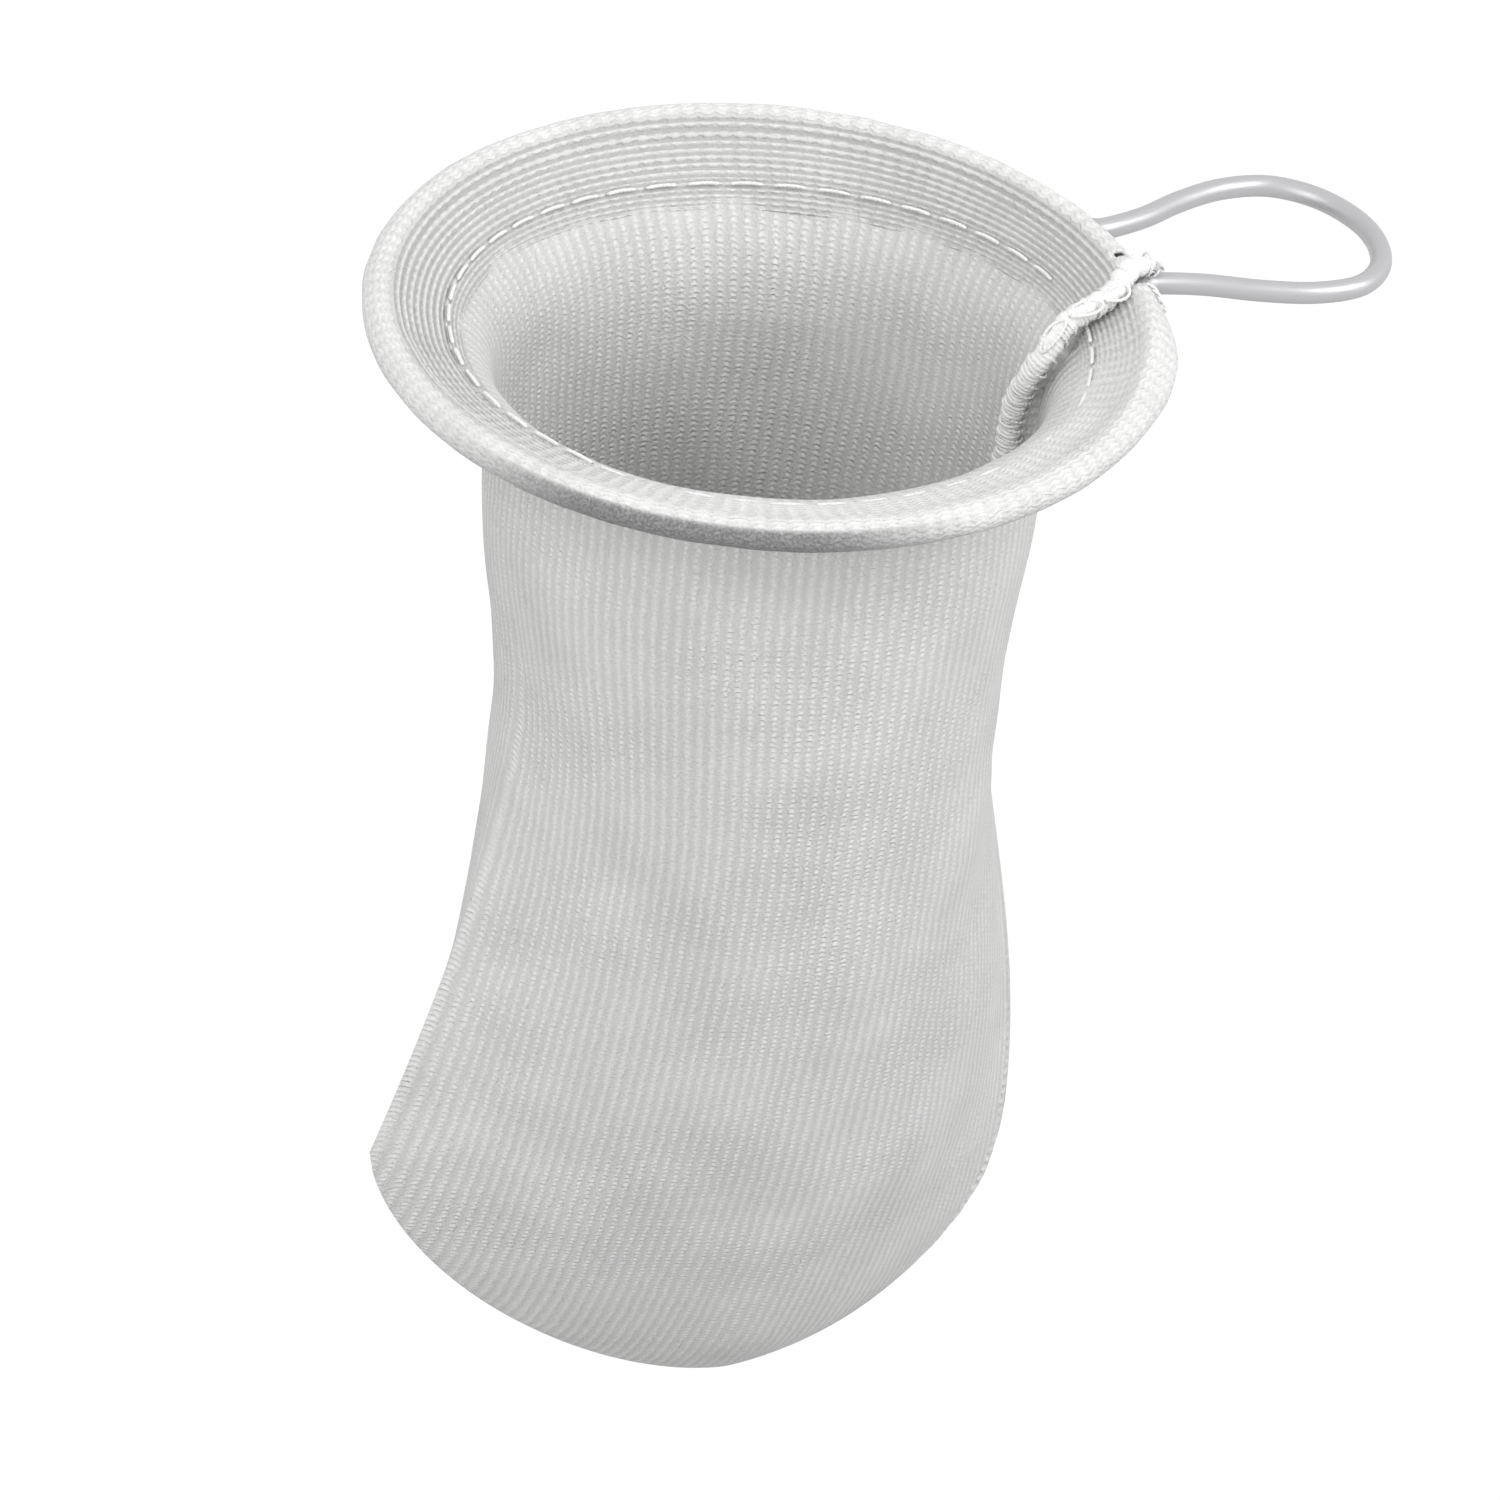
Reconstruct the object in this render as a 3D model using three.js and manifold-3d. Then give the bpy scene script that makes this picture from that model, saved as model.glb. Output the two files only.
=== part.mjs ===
// A cotton filter bag that hangs from a wire ring with a finger loop.
// Millimetres, +Z up. The ring's centre is the origin, and the finger loop points along +X.
import * as THREE from 'three';
import { ParametricGeometry } from 'three/addons/geometries/ParametricGeometry.js';
import { mergeVertices } from 'three/addons/utils/BufferGeometryUtils.js';
import Module from 'manifold-3d';

// Wire
const WIRE_DIAMETER = 3.1;
const RING_RADIUS = 53.15;        // to the middle of the wire
const RING_GAP = 0.8;             // between the wire's cut ends, inside the casing
const LOOP_REACH = 41.5;          // from the ring's wire to the far end of the finger loop
const LOOP_WIDTH = 29.4;
const LOOP_SKEW = 1.3;            // how far the loop leans to one side
const LOOP_DROOP = 5.5;           // degrees that the loop hangs below the ring
const LEG_SPACING = 15;           // between the two legs, where they leave the casing
const BEND_RADIUS = 3.5;          // where the ring turns out into a leg

// Cloth
const KNIT_THICKNESS = 0.9;
const STRETCHED_THICKNESS = 0.5;  // the same cloth where the ring pulls it wide
const CASING_WALL = 0.4;
const WIRE_ROOM = 0.28;           // between the wire and the casing round it
const RIBS = 60;                  // vertical ribs of the knit, all round
const RIB_HEIGHT = 0.28;
const HEM_WIDTH = 10;             // from the casing to the hem's cut edge
const HEM_RIDGES = 4;
const HEM_RIDGE_HEIGHT = 0.35;

// Bag: its fold is at -X, its seam at +X, and both layers meet along the bottom
const MOUTH_DEPTH = 25;           // from the ring down to the neck
const MOUTH_WIDTH = 15.1;         // from the wire in to the neck, across the middle plane
const FOLD_MOUTH_WIDTH = 14.6;    // the same at the fold
const SEAM_MOUTH_WIDTH = 10.6;    // and at the seam
const FLANGE_RADIUS = RING_RADIUS - WIRE_DIAMETER / 2;
const NECK_HALF_DEPTH = FLANGE_RADIUS - MOUTH_WIDTH;
const BAG_DEPTH = 184;
const LOWEST_POINT = 10;          // how far it lies towards the seam
const FULLNESS = 2.3;             // how far down the bag keeps its thickness
const BOTTOM_ROUNDNESS = 0.71;    // below 1, the bottom is blunt
const ROUND_SECTION = 0.5;        // power of the neck's section, which is an ellipse
const FLAT_SECTION = 0.85;        // and of the bottom's, which ends in two thin edges
const FOLD_SIDE = {
  neck: FLANGE_RADIUS - FOLD_MOUTH_WIDTH, waist: 32.8, corner: 50.5, waistAt: 0.3, cornerDepth: 130,
  roundness: 1.5,
};
const SEAM_SIDE = {
  neck: FLANGE_RADIUS - SEAM_MOUTH_WIDTH, waist: 38.4, corner: 52.6, waistAt: 0.19, cornerDepth: 146,
  roundness: 2,
};
const FOLD_FLARE = (share) => share ** 1.5;
const SEAM_FLARE = (share) => Math.sin(share * Math.PI / 2) ** 1.8;
const FLAT_MOUTH_AT = 241.4;      // degrees round the ring where the mouth lies flattest
const FLAT_TURN = 11;             // how sharply the mouth turns down there
const STEEP_TURN = 3;             // and on the other side
const MOUTH_TAPER = 0.3;          // how fast an inset turns from sideways to upward in the mouth
const THROAT_SPACING = 1.5;       // spreads the throat's rings where the mouth turns down sharply

// Seam allowance, which stands inside the bag, and the thread over its edge
const SEAM_HEIGHT = 5.5;
const SEAM_THICKNESS = 1.5;
const SEAM_ROOT = 0.5;            // how deep its foot sits in the cloth
const THREAD_ROOM = 0.3;
const THREAD_THICKNESS = 0.4;
const THREAD_WRAP = 1.7;          // how far the thread reaches down the seam's sides
const THREAD_LOOPS = 34;          // thick places along the thread's edge
const SEAM_START = 0.45;          // share of its height that the seam has on the rim
const SEAM_RISE = 0.12;           // share of its length after which it has all of it

const WIRE_RADIUS = WIRE_DIAMETER / 2;
const TUNNEL_RADIUS = WIRE_RADIUS + WIRE_ROOM;
const CASING_RADIUS = TUNNEL_RADIUS + CASING_WALL;
const NOTCH_WIDTH = LEG_SPACING + 2 * WIRE_DIAMETER;
const FULL_TURN = 2 * Math.PI;

// Levels of the bag's rings, from the bottom seam at 1 up to the neck at 0
const BODY_LEVELS = [1, 0.96, 0.86, 0.7, 0.52, 0.33, 0.15, 0];

// The mouth's spread from the neck at 0 to the casing at 1, at the hem's edge and up from it
const HEM_SHARE = 1 - HEM_WIDTH / MOUTH_WIDTH;
const HEM_STEPS = [HEM_SHARE, (HEM_SHARE + 1) / 2, 1];
const THROAT_STEPS = [0.45, 0.75]; // below the hem's edge
const LINING_COLUMNS = 48;        // round the inner face, which has no ribs
const CASING_ARC = [130, 80, 30, -20, -70, -120]; // degrees round the wire, from above to below

// Places of the seam: radius and height on the rim, then how far outward in the mouth it lies on the
// hem and in the throat, then shares of the half-width along the bottom
const SEAM_ON_RIM = [[RING_RADIUS + 1, -0.4], [RING_RADIUS - 0.2, 0.4]];
const SEAM_ON_HEM = [0.85, 0.6, 0.4];
const SEAM_IN_THROAT = [0.22, 0.1, 0.03];
const SEAM_ALONG_BOTTOM = [0.96, 0.86, 0.72, 0.56, 0.4];

// Places of the wire: shares of the bend, and for the finger loop's half shares of its reach and of
// its half-width
const RING_STEPS = 24;
const BEND_STEPS = [0.2, 0.4, 0.6, 0.8, 1];
const BEND_END = 1.55 * Math.PI;
const LOOP_HALF = [[0.24, 0.626], [0.43, 0.844], [0.62, 0.98], [0.8, 0.939], [0.93, 0.66], [1, 0.218]];
const WIRE_SIDES = 8;
const WIRE_STEPS = 150;

const { lerp, smoothstep, degToRad } = THREE.MathUtils;
const wasm = await Module();
wasm.setup();

// Joins a geometry's vertices, drops its collapsed triangles and makes it a solid
function toSolid(geometry) {
  const bare = new THREE.BufferGeometry();
  const loose = geometry.index ? geometry.toNonIndexed() : geometry;
  bare.setAttribute('position', loose.getAttribute('position'));
  const merged = mergeVertices(bare, 1e-4);
  const index = merged.getIndex().array;
  const kept = [];
  for (let i = 0; i < index.length; i += 3) {
    const [a, b, c] = index.slice(i, i + 3);
    if (a !== b && b !== c && c !== a) kept.push(a, b, c);
  }
  return new wasm.Manifold(new wasm.Mesh({
    numProp: 3,
    vertProperties: Float32Array.from(merged.getAttribute('position').array),
    triVerts: Uint32Array.from(kept),
  }));
}

function toGeometry(solid) {
  const mesh = solid.getMesh();
  const geometry = new THREE.BufferGeometry();
  geometry.setAttribute('position', new THREE.BufferAttribute(Float32Array.from(mesh.vertProperties), 3));
  geometry.setIndex(new THREE.BufferAttribute(Uint32Array.from(mesh.triVerts), 1));
  geometry.computeVertexNormals();
  return geometry;
}

// A solid skinned over rings, each a function that gives its point at an angle
function skin(rings, columns) {
  const surface = (u, v, target) => {
    const column = Math.round(u * columns) % columns;
    const ring = rings[Math.round(v * (rings.length - 1))];
    target.copy(ring(FULL_TURN * column / columns, column));
  };
  return toSolid(new ParametricGeometry(surface, columns, rings.length - 1));
}

// A point at a radius and height, round the ring's axis
function polar(angle, radius, height) {
  return new THREE.Vector3(radius * Math.cos(angle), radius * Math.sin(angle), height);
}

// Half-width of the bag on one side, from the neck at level 0 to the corner at level 1
function halfWidth(side, level) {
  if (level < side.waistAt) {
    return lerp(side.neck, side.waist, smoothstep(level, 0, side.waistAt));
  }
  const flare = side === FOLD_SIDE ? FOLD_FLARE : SEAM_FLARE;
  return lerp(side.waist, side.corner, flare((level - side.waistAt) / (1 - side.waistAt)));
}

// Height of the bag's bottom edge in the middle plane
function bottomEdge(x) {
  const side = x < LOWEST_POINT ? FOLD_SIDE : SEAM_SIDE;
  const reach = x < LOWEST_POINT ? side.corner + LOWEST_POINT : side.corner - LOWEST_POINT;
  const share = Math.min(Math.abs(x - LOWEST_POINT) / reach, 1);
  const fall = (1 - share ** side.roundness) ** (1 / side.roundness);
  return -lerp(side.cornerDepth, BAG_DEPTH, fall);
}

// A point of the bag below its neck: level 0 is the neck, 1 the bottom seam
function bodyPoint(angle, level, inset) {
  const side = Math.cos(angle) < 0 ? FOLD_SIDE : SEAM_SIDE;
  const evenly = 1 - 2 * Math.atan2(Math.abs(Math.sin(angle)), Math.cos(angle)) / Math.PI;
  const across = lerp(Math.cos(angle), evenly, level ** 2);
  const width = halfWidth(side, level) - inset;
  const depth = Math.max(NECK_HALF_DEPTH * (1 - level ** FULLNESS) ** BOTTOM_ROUNDNESS - inset, 0);
  const bulge = Math.max(1 - across ** 2, 0) ** lerp(ROUND_SECTION, FLAT_SECTION, level ** 2);
  const height = lerp(-MOUTH_DEPTH, bottomEdge(side.corner * evenly), level);
  return new THREE.Vector3(width * across, Math.sign(Math.sin(angle)) * depth * bulge, height);
}

// How sharply the mouth turns down at an angle
function mouthTurn(angle) {
  const towardsFlat = (1 + Math.cos(angle - degToRad(FLAT_MOUTH_AT))) / 2;
  return STEEP_TURN * (FLAT_TURN / STEEP_TURN) ** towardsFlat;
}

// A point of the mouth: outward 0 is the neck, 1 the casing
function mouthPoint(angle, outward, inset) {
  const drop = 1 - outward ** (1 / mouthTurn(angle));
  const height = inset * outward ** MOUTH_TAPER - MOUTH_DEPTH * drop - STRETCHED_THICKNESS;
  const neck = bodyPoint(angle, 0, inset);
  const flange = polar(angle, FLANGE_RADIUS, 0);
  return new THREE.Vector3(lerp(neck.x, flange.x, outward), lerp(neck.y, flange.y, outward), height);
}

// Rings of the cloth from the bottom up to the casing, at an inset from its outer face
function clothRings(insetAt, lowest) {
  const belowHem = (angle, share) => HEM_SHARE * share ** Math.sqrt(THROAT_SPACING * mouthTurn(angle));
  return [
    ...BODY_LEVELS.map((level) => (angle, column) => (
      bodyPoint(angle, level * lowest, level < 1 ? insetAt(0, column) : insetAt(0, 0)))),
    ...THROAT_STEPS.map((share) => (angle, column) => (
      mouthPoint(angle, belowHem(angle, share), insetAt(share / 2, column)))),
    ...HEM_STEPS.map((outward) => (angle) => mouthPoint(angle, outward, insetAt(1, 0))),
  ];
}

// The bag's single layer of knit, with its ribs outside
function bagWall() {
  const lid = 2 * STRETCHED_THICKNESS;
  const ribs = (share, column) => (column % 2) * RIB_HEIGHT * (1 - share);
  const outside = skin([
    ...clothRings(ribs, 1),
    (angle) => polar(angle, FLANGE_RADIUS, lid),
    () => new THREE.Vector3(0, 0, lid),
  ], 2 * RIBS);
  const thickness = (share) => lerp(KNIT_THICKNESS, STRETCHED_THICKNESS, share);
  const closing = (1 - (KNIT_THICKNESS / NECK_HALF_DEPTH) ** (1 / BOTTOM_ROUNDNESS)) ** (1 / FULLNESS);
  const inside = skin([
    ...clothRings(thickness, closing),
    (angle) => polar(angle, FLANGE_RADIUS + lid, 0),
    (angle) => polar(angle, FLANGE_RADIUS + lid, 2 * lid),
    () => new THREE.Vector3(0, 0, 2 * lid),
  ], LINING_COLUMNS);
  return outside.subtract(inside);
}

// The hem, folded in over the wire, with the ridges of its stretched courses
function hem() {
  const ridges = Array.from({ length: 2 * HEM_RIDGES + 1 }, (_, i) => (angle) => mouthPoint(
    angle,
    lerp(HEM_SHARE, 1, i / (2 * HEM_RIDGES)),
    2 * STRETCHED_THICKNESS + (i % 2) * HEM_RIDGE_HEIGHT,
  ));
  const casing = CASING_ARC.map((degrees) => (angle) => polar(
    angle,
    RING_RADIUS + CASING_RADIUS * Math.cos(degToRad(degrees)),
    CASING_RADIUS * Math.sin(degToRad(degrees)),
  ));
  const underside = [...HEM_STEPS].reverse().map((outward) => (angle) => (
    mouthPoint(angle, outward, STRETCHED_THICKNESS / 2)));
  return skin([...ridges, ...casing, ...underside, ridges[0]].reverse(), RIBS);
}

// Places down the seam, inside the cloth: over the rim, down the wall and along the bottom
function seamLine() {
  const root = KNIT_THICKNESS - SEAM_ROOT;
  const onHem = 2 * STRETCHED_THICKNESS;
  const mouth = SEAM_ON_HEM.map((outward) => mouthPoint(0, outward, onHem));
  const turn = SEAM_IN_THROAT.map((outward) => mouthPoint(0, outward, root));
  const wall = [...BODY_LEVELS].reverse().slice(0, -1).map((level) => bodyPoint(0, level, root));
  const bottom = SEAM_ALONG_BOTTOM.map((share) => SEAM_SIDE.corner * share);
  return [
    ...SEAM_ON_RIM.map(([x, z]) => new THREE.Vector2(x, z)),
    ...[...mouth, ...turn, ...wall].map((p) => new THREE.Vector2(p.x, p.z)),
    ...bottom.map((x) => new THREE.Vector2(x, bottomEdge(x) + root)),
  ];
}

// A strip that stands on the seam line, between two heights above it, short of its ends by some steps
function seamStrip(low, high, thickness, short = 0) {
  const line = new THREE.SplineCurve(seamLine());
  const steps = 2 * THREAD_LOOPS;
  const foot = [];
  const edge = [];
  for (let i = short; i <= steps - short; i += 1) {
    const t = i / steps;
    const along = line.getTangentAt(t);
    const up = new THREE.Vector2(along.y, -along.x);
    const share = lerp(SEAM_START, 1, smoothstep(t, 0, SEAM_RISE));
    foot.push(line.getPointAt(t).addScaledVector(up, low(share, i)));
    edge.push(line.getPointAt(t).addScaledVector(up, high(share, i)));
  }
  const shape = new THREE.Shape([...foot, ...edge.reverse()]);
  const geometry = new THREE.ExtrudeGeometry(shape, { depth: thickness, bevelEnabled: false, steps: 1 });
  geometry.translate(0, 0, -thickness / 2);
  geometry.rotateX(Math.PI / 2);
  return toSolid(geometry);
}

function seamAllowance() {
  return seamStrip(() => 0, (share) => SEAM_HEIGHT * share, SEAM_THICKNESS);
}

function overlockThread() {
  const over = THREAD_ROOM + THREAD_THICKNESS;
  const outer = seamStrip(
    (share) => SEAM_HEIGHT * share - THREAD_WRAP * share,
    (share, i) => SEAM_HEIGHT * share + over + (i % 2) * THREAD_THICKNESS,
    SEAM_THICKNESS + 2 * over,
    1,
  );
  const hollow = seamStrip(
    (share) => SEAM_HEIGHT * share - THREAD_WRAP * share - THREAD_ROOM,
    (share) => SEAM_HEIGHT * share + THREAD_ROOM,
    SEAM_THICKNESS + 2 * THREAD_ROOM,
  );
  return outer.subtract(hollow);
}

// Room for the ring in the casing, and the opening where the two legs come out
function wireTunnel() {
  const tunnel = toSolid(new THREE.TorusGeometry(RING_RADIUS, TUNNEL_RADIUS, 8, RIBS));
  const opening = new THREE.BoxGeometry(2 * CASING_RADIUS + WIRE_DIAMETER, NOTCH_WIDTH, 3 * CASING_RADIUS);
  opening.translate(FLANGE_RADIUS + CASING_RADIUS + WIRE_RADIUS, 0, 0);
  return tunnel.add(toSolid(opening));
}

function cottonBag() {
  return bagWall().add(hem()).subtract(wireTunnel()).add(seamAllowance());
}

// The wire's middle line: round the ring, out along one leg, round the loop and back
function wireLine() {
  const leave = Math.asin((LEG_SPACING / 2 + BEND_RADIUS) / (RING_RADIUS + BEND_RADIUS));
  const end = Math.PI - RING_GAP / 2 / RING_RADIUS;
  const ring = Array.from({ length: RING_STEPS + 1 }, (_, i) => (
    polar(lerp(end, leave, i / RING_STEPS), RING_RADIUS, 0)));
  const centre = polar(leave, RING_RADIUS + BEND_RADIUS, 0);
  const bend = BEND_STEPS.map((t) => (
    polar(lerp(Math.PI + leave, BEND_END, t), BEND_RADIUS, 0).add(centre)));
  const loop = LOOP_HALF.map(([reach, width]) => (
    new THREE.Vector3(RING_RADIUS + LOOP_REACH * reach, LOOP_WIDTH / 2 * width, 0)));
  const half = [...ring, ...bend, ...loop];
  const mirrored = half.map((p) => new THREE.Vector3(p.x, -p.y, p.z)).reverse();
  const droop = Math.tan(degToRad(LOOP_DROOP));
  const points = [...half, ...mirrored].map((p) => {
    const beyond = Math.max(p.x - RING_RADIUS, 0);
    return new THREE.Vector3(p.x, p.y + LOOP_SKEW * beyond / LOOP_REACH, -beyond * droop);
  });
  return new THREE.CatmullRomCurve3(points, false, 'centripetal');
}

function wireFrame() {
  const section = new THREE.Shape(
    Array.from({ length: WIRE_SIDES }, (_, i) => new THREE.Vector2(
      WIRE_RADIUS * Math.cos(FULL_TURN * i / WIRE_SIDES),
      WIRE_RADIUS * Math.sin(FULL_TURN * i / WIRE_SIDES),
    )));
  return toSolid(new THREE.ExtrudeGeometry(section, { steps: WIRE_STEPS, extrudePath: wireLine() }));
}

const materials = {
  cotton: new THREE.MeshStandardMaterial({ color: 0xf0efec, roughness: 0.95, metalness: 0 }),
  thread: new THREE.MeshStandardMaterial({ color: 0xf7f6f3, roughness: 0.8, metalness: 0 }),
  steel: new THREE.MeshStandardMaterial({ color: 0xc6c7c8, roughness: 0.4, metalness: 0.8 }),
};

const bag = new THREE.Group();
function addPiece(name, solid, material) {
  const mesh = new THREE.Mesh(toGeometry(solid), material);
  mesh.name = name;
  bag.add(mesh);
}

addPiece('cotton_bag', cottonBag(), materials.cotton);
addPiece('wire_frame', wireFrame(), materials.steel);
addPiece('overlock_thread', overlockThread(), materials.thread);

export default bag;
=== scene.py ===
# %% [markdown]
# # A cotton tea filter bag on its wire ring
# The bag is one piece of knitted cotton. Its mouth is pulled wide over a wire ring, folded in over
# the wire and stitched down, and its side and bottom are closed with an overlocked seam.
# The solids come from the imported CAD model. Here each of them is replaced by a detailed piece
# that stands in the same place.

import math

import bmesh
import bpy
from mathutils import Matrix, Vector, noise


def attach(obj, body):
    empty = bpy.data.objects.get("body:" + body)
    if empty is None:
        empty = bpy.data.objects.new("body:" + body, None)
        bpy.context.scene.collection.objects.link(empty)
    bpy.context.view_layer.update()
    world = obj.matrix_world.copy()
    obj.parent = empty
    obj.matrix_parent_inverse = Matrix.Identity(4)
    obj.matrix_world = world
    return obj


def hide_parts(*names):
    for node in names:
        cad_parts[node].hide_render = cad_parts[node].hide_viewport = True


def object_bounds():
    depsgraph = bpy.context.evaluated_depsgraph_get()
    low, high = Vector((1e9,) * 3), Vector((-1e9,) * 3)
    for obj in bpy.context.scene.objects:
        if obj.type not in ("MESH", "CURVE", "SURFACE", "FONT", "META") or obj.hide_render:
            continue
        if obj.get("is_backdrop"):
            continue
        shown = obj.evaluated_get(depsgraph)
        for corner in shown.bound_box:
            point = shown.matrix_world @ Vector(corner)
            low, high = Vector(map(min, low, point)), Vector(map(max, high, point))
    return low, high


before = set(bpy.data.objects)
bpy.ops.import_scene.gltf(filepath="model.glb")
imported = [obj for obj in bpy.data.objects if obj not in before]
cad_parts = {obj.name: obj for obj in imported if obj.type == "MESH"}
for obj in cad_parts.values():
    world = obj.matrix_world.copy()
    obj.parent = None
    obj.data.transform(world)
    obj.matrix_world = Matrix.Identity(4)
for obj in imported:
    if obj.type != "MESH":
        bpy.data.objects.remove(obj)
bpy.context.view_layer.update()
print("CAD nodes:", sorted(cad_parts))

# %% [markdown]
# ## Camera
# The camera comes first, because every choice after it is judged from there. It looks down on the
# ring from the front left, from far away with a long lens, so that the bag shows little perspective.

# %% Camera at the photograph's viewing angle
AZIMUTH, ELEVATION, ROLL = math.radians(-28.6), math.radians(34.38), math.radians(5.78)
CAMERA_PLACE = Vector((-0.54985, -1.01622, 0.71950))
BAG_MIDDLE = Vector((0, 0, -0.07))
camera = bpy.data.objects.new("camera", bpy.data.cameras.new("camera"))
bpy.context.scene.collection.objects.link(camera)
camera.data.sensor_width = 36
camera.data.lens = 238.75
camera.data.clip_end = 50
back = Vector((
    math.sin(AZIMUTH) * math.cos(ELEVATION),
    -math.cos(AZIMUTH) * math.cos(ELEVATION),
    math.sin(ELEVATION),
))
right = Vector((math.cos(AZIMUTH), math.sin(AZIMUTH), 0))
up = back.cross(right)
level_x = right * math.cos(ROLL) + up * math.sin(ROLL)
level_y = back.cross(level_x)
turn = Matrix((level_x, level_y, back)).transposed().to_4x4()
camera.matrix_world = Matrix.Translation(CAMERA_PLACE) @ turn
bpy.context.scene.camera = camera
print("camera", round((CAMERA_PLACE - BAG_MIDDLE).length, 2), "m away")

# %% [markdown]
# ## Measures
# These are the sizes of the real bag in millimetres, the same that the CAD solids were made from.
# Each shape below is worked out in millimetres and made small at the end, which keeps the numbers
# easy to read.

# %% Sizes of the wire and the cloth
MM = 0.001
FULL_TURN = 2 * math.pi
WIRE_RADIUS = 1.55
RING_RADIUS = 53.15
RING_GAP = 0.8
LOOP_REACH = 41.5
LOOP_SKEW, LOOP_DROOP = 1.3, math.radians(5.5)
LEG_SPACING, BEND_RADIUS = 15, 3.5
CASING_RADIUS = 2.2
FLANGE_RADIUS = RING_RADIUS - WIRE_RADIUS
MOUTH_DEPTH, NECK_HALF_DEPTH, BAG_DEPTH, LOWEST_POINT = 25, 36.5, 184, 10
FULLNESS, BOTTOM_ROUNDNESS = 2.3, 0.71
HEM_WIDTH = 10
STRETCHED_THICKNESS = 0.5
ROUND_SECTION, FLAT_SECTION = 0.5, 0.85  # powers of the neck's and the bottom's section
HEM_SHARE = 1 - HEM_WIDTH / (FLANGE_RADIUS - NECK_HALF_DEPTH)
WALES, WALE_PITCH = 132, 1.77


def lerp(a, b, share):
    return a + (b - a) * share


def smoothstep(value, low, high):
    share = min(max((value - low) / (high - low), 0), 1)
    return share * share * (3 - 2 * share)


def polar(angle, radius, height):
    return Vector((radius * math.cos(angle), radius * math.sin(angle), height))


def turn_apart(angle, other):
    """How far two angles lie apart, from 0 to half a turn."""
    return abs((angle - other + math.pi) % FULL_TURN - math.pi)


print("ring", 2 * RING_RADIUS, "mm, bag", BAG_DEPTH, "mm deep,", WALES, "wales round")

# %% [markdown]
# ## How the bag hangs
# Below the neck the bag is round, and it gets flatter towards the bottom, where front and back are
# sewn together. One side is the seam and the other a fold. A loft between drawn outlines could give
# this shape. A function of an angle and a level is used, so that the cloth, the seam and the
# stitches can all ask it where the bag is.


# %% The body below the neck
def fold_flare(share):
    return share ** 1.5


def seam_flare(share):
    return math.sin(share * math.pi / 2) ** 1.8


FOLD_SIDE = {"neck": 37, "waist": 32.8, "corner": 50.5, "waist_at": 0.3, "corner_depth": 130,
             "roundness": 1.5, "flare": fold_flare}
SEAM_SIDE = {"neck": 41, "waist": 38.4, "corner": 52.6, "waist_at": 0.19, "corner_depth": 146,
             "roundness": 2, "flare": seam_flare}


def half_width(side, level):
    if level < side["waist_at"]:
        return lerp(side["neck"], side["waist"], smoothstep(level, 0, side["waist_at"]))
    share = side["flare"]((level - side["waist_at"]) / (1 - side["waist_at"]))
    return lerp(side["waist"], side["corner"], share)


def bottom_edge(x):
    side = FOLD_SIDE if x < LOWEST_POINT else SEAM_SIDE
    reach = side["corner"] + (LOWEST_POINT if x < LOWEST_POINT else -LOWEST_POINT)
    share = min(abs(x - LOWEST_POINT) / reach, 1)
    fall = (1 - share ** side["roundness"]) ** (1 / side["roundness"])
    return -lerp(side["corner_depth"], BAG_DEPTH, fall)


def body_point(angle, level, inset):
    side = FOLD_SIDE if math.cos(angle) < 0 else SEAM_SIDE
    evenly = 1 - 2 * math.atan2(abs(math.sin(angle)), math.cos(angle)) / math.pi
    across = lerp(math.cos(angle), evenly, level ** 2)
    width = half_width(side, level) - inset
    depth = max(NECK_HALF_DEPTH * (1 - level ** FULLNESS) ** BOTTOM_ROUNDNESS - inset, 0)
    bulge = max(1 - across ** 2, 0) ** lerp(ROUND_SECTION, FLAT_SECTION, level ** 2)
    height = lerp(-MOUTH_DEPTH, bottom_edge(side["corner"] * evenly), level)
    return Vector((width * across, math.copysign(depth * bulge, math.sin(angle)), height))


print("lowest point", round(bottom_edge(LOWEST_POINT), 1), "mm")

# %% [markdown]
# ## The mouth
# From the neck the cloth runs out to the ring like a trumpet. At the near left it lies almost flat
# and turns down late, and on the other side it slopes. Then it goes round the wire, and comes back
# on top as the hem.

# %% The mouth, the casing round the wire and the hem
FLAT_MOUTH_AT = math.radians(241.4)
FLAT_TURN, STEEP_TURN = 11, 3
HEM_LIFT = 1.0
MOUTH_TAPER = 0.3  # how fast an inset turns from sideways to upward
BULGE_AT, BULGE_WIDTH, BULGE = math.radians(-31), math.radians(15), 0.9


def mouth_turn(angle):
    towards_flat = (1 + math.cos(angle - FLAT_MOUTH_AT)) / 2
    return STEEP_TURN * (FLAT_TURN / STEEP_TURN) ** towards_flat


def mouth_point(angle, outward, inset):
    drop = 1 - outward ** (1 / mouth_turn(angle))
    height = inset * outward ** MOUTH_TAPER - MOUTH_DEPTH * drop - STRETCHED_THICKNESS
    point = body_point(angle, 0, inset).lerp(polar(angle, FLANGE_RADIUS, 0), outward)
    return Vector((point.x, point.y, height))


def casing_radius(angle):
    return CASING_RADIUS + BULGE * math.exp(-(turn_apart(angle, BULGE_AT) / BULGE_WIDTH) ** 2)


def casing_point(angle, around, outside=0):
    radius = casing_radius(angle) + outside
    return polar(angle, RING_RADIUS + radius * math.cos(around), radius * math.sin(around))


print("hem from", round(FLANGE_RADIUS, 1), "in to", round(FLANGE_RADIUS - HEM_WIDTH, 1), "mm")

# %% [markdown]
# ## A helper for tubes
# The wire, each stitch and the overlock thread are all tubes along a line. A bevelled curve would
# do it too. Here a bmesh grid is rolled round the line, because that also gives the tube a UV map
# in millimetres, and hundreds of short stitches can share one mesh.


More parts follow.
